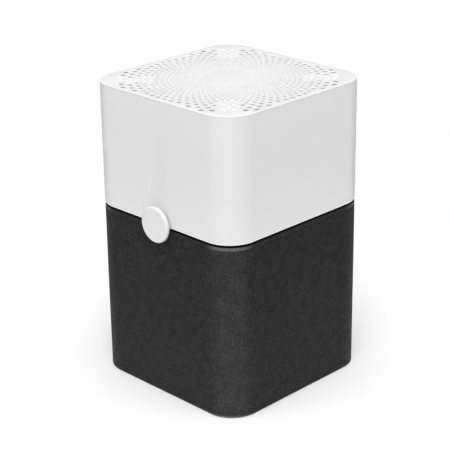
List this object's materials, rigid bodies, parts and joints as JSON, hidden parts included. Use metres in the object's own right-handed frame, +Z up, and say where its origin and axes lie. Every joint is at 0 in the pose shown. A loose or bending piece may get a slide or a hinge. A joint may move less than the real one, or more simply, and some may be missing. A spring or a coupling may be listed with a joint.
{
  "type": "air purifier",
  "caption": "Floor-standing square tower with round corners: a white fan head with a spiral-perforated top and a round push button, on a fabric-sleeved filter base.",
  "frame": {"origin": "on the floor under the fan's axis, at the middle of the base", "axes": "+Z up, front with the button at -Y, +X to the right seen from the front"},
  "size_m": [0.33, 0.3465, 0.52],
  "materials": {
    "white_shell": "fine-textured white moulding",
    "white_button": "satin white moulding",
    "knit_fabric": "dark grey knitted polyester",
    "dark_plastic": "black moulding",
    "grey_plastic": "mid grey moulding",
    "natural_plastic": "unpigmented plastic",
    "filter_media": "pleated nonwoven",
    "carbon_foam": "carbon-loaded mesh",
    "gasket_foam": "closed-cell foam",
    "rubber": "soft black rubber",
    "steel": "bright steel",
    "core_steel": "dark laminated steel",
    "copper": "enamelled copper wire",
    "brass": "turned brass",
    "circuit_board": "green solder mask",
    "led_lens": "clear lens",
    "wire_sleeve": "soft black sleeving"
  },
  "bodies": {
    "filter_unit": {"rubber_feet": "rubber", "base_tray": "grey_plastic", "filter_cage": "natural_plastic", "corner_posts": "natural_plastic", "pleated_media": "filter_media", "carbon_panels": "carbon_foam", "filter_top_frame": "grey_plastic", "filter_gasket": "gasket_foam", "prefilter_sleeve": "knit_fabric"},
    "blower_unit": {"upper_shell": "white_shell", "top_grille": "white_shell", "corner_struts": "white_shell", "chassis_plate": "dark_plastic", "inlet_guard": "dark_plastic", "fan_shroud": "grey_plastic", "air_divider": "white_shell", "motor_carrier": "white_shell", "lower_bearing": "steel", "upper_bearing": "steel", "stator_core": "core_steel", "motor_windings": "copper", "button_socket": "dark_plastic", "control_board": "circuit_board", "tact_switch": "dark_plastic", "status_leds": "led_lens", "power_board": "circuit_board", "board_parts": "dark_plastic", "cord_gland": "dark_plastic", "gland_nut": "dark_plastic", "motor_lead": "wire_sleeve", "control_lead": "wire_sleeve", "shroud_screws": "steel", "divider_screws": "steel"},
    "fan_rotor": {"impeller": "dark_plastic", "motor_shaft": "steel", "rotor_can": "steel", "magnet_ring": "core_steel", "lock_nut": "brass"},
    "control_button": {"button_cap": "white_button", "button_spring": "steel"}
  },
  "joints": [
    {"name": "lift_off", "type": "slide", "parent": "filter_unit", "child": "blower_unit", "axis": [0, 0, 1], "range_m": [0, 0.12]},
    {"name": "fan_spin", "type": "hinge", "parent": "blower_unit", "child": "fan_rotor", "pos_m": [0, 0, 0.376], "axis": [0, 0, 1], "continuous": true},
    {"name": "button_press", "type": "slide", "parent": "blower_unit", "child": "control_button", "axis": [0, 1, 0], "range_m": [0, 0.0015], "stiffness_N_per_m": 400, "springref_m": -0.004, "deforming": ["button_spring"]}
  ]
}
